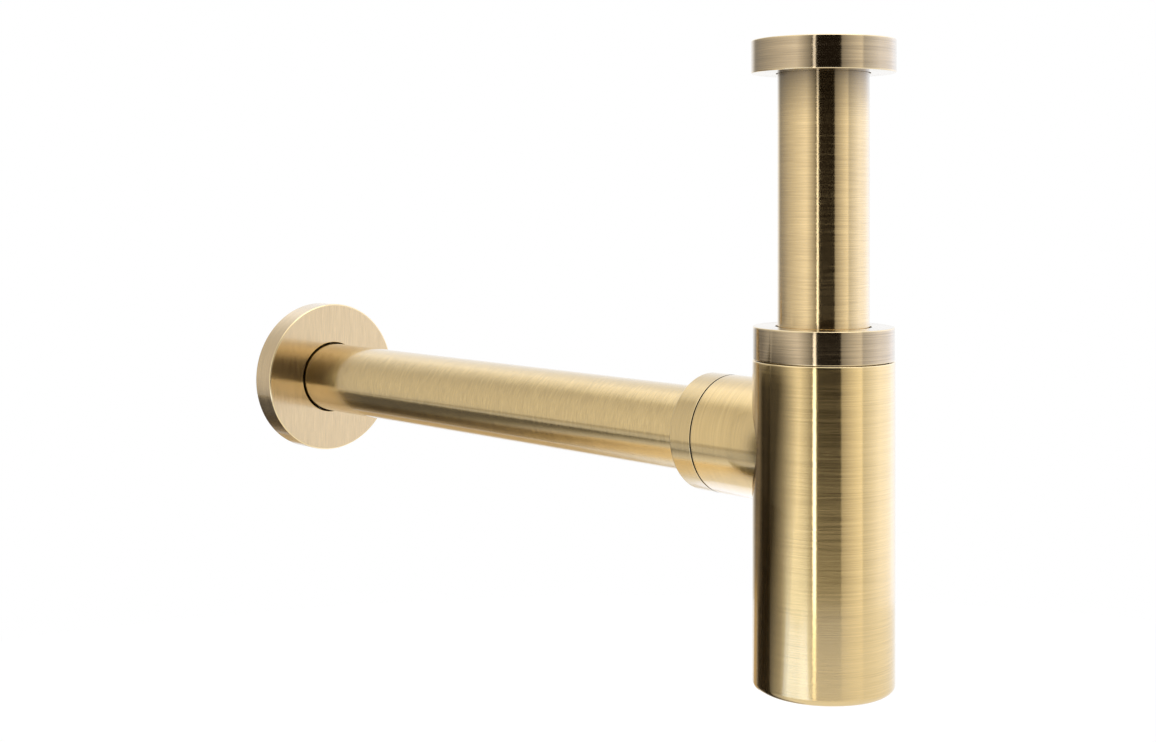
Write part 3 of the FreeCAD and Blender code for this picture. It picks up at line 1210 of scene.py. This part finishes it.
    def world(self) -> None:
        """Soft walls all round: white for the camera, lit and dark parts for the metal."""
        world = bpy.data.worlds.new("studio")
        world.use_nodes = True
        bpy.context.scene.world = world
        bench = NodeBench(world.node_tree)
        heading = bench.add("ShaderNodeTexCoord").outputs["Generated"]
        towards, right = (bench.along(heading, direction) for direction in self.sides)
        azimuth = bench.math("DEGREES", bench.math("ARCTAN2", right, towards))
        height = bench.math("DEGREES", bench.math("ARCSINE", bench.along(heading, (0.0, 0.0, 1.0))))
        light: Value = self.room
        for wall in self.walls:
            leaving = bench.ramp(azimuth, wall.fall, (1.0, 0.0))
            here = bench.math("MULTIPLY", bench.ramp(azimuth, wall.rise), leaving)
            if wall.low > STRAIGHT_DOWN:
                foot = (wall.low - wall.low_blur, wall.low + wall.low_blur)
                here = bench.math("MULTIPLY", here, bench.ramp(height, foot))
            if wall.high < STRAIGHT_UP:
                head = (wall.high - wall.high_blur, wall.high + wall.high_blur)
                here = bench.math("MULTIPLY", here, bench.ramp(height, head, (1.0, 0.0)))
            light = bench.blend(here, light, wall.light)
        light = bench.blend(bench.ramp(height, self.overhead_span), light, self.overhead)
        rays = bench.add("ShaderNodeLightPath").outputs
        behind = bench.ramp(bench.math("ABSOLUTE", azimuth), self.backdrop_span)
        seen = bench.math("MAXIMUM", rays["Is Camera Ray"], rays["Is Transmission Ray"])
        seen = bench.math("MAXIMUM", seen, bench.math("MULTIPLY", rays["Is Glossy Ray"], behind))
        light = bench.blend(seen, light, WHITE)
        shader = bench.add("ShaderNodeBackground", {"Color": light, "Strength": 1.0})
        bench.add("ShaderNodeOutputWorld", {"Surface": shader.outputs[0]})

    def light(self, lamp: Lamp) -> None:
        """Hangs a lamp, out of the camera's sight."""
        data = bpy.data.lights.new(lamp.name, "AREA")
        data.shape = "RECTANGLE"
        data.size, data.size_y = lamp.size
        data.energy = lamp.watts
        data.color = lamp.colour
        thing = bpy.data.objects.new(lamp.name, data)
        thing.location = lamp.place
        thing.rotation_euler = (math.radians(lamp.turn[0]), 0.0, math.radians(lamp.turn[1]))
        thing.visible_camera = False
        bpy.context.scene.collection.objects.link(thing)

    def build(self) -> None:
        """Sets up the studio."""
        self.camera()
        self.world()
        for lamp in self.lamps:
            self.light(lamp)
        self.floor()
        for card in self.cards:
            self.card(card)
        bpy.context.scene.view_settings.view_transform = "Standard"


def main() -> None:
    """Builds the trap and its studio in order."""
    logging.basicConfig(level=logging.INFO, format="%(name)s: %(message)s")
    turned: List[TurnedPiece] = []
    for assembly in (InletCoupling(), LID_JOINT, OUTLET_JOINT, OutletPipe(), WallRosette()):
        turned.extend(assembly.pieces())
    for piece in turned:
        thing = piece.build()
        log.info("%s: %d faces", thing.name, len(thing.data.polygons))
    body = Bottle().build()
    log.info("%s: %d faces", body.name, len(body.data.polygons))
    Studio().build()


if __name__ == "__main__":
    main()
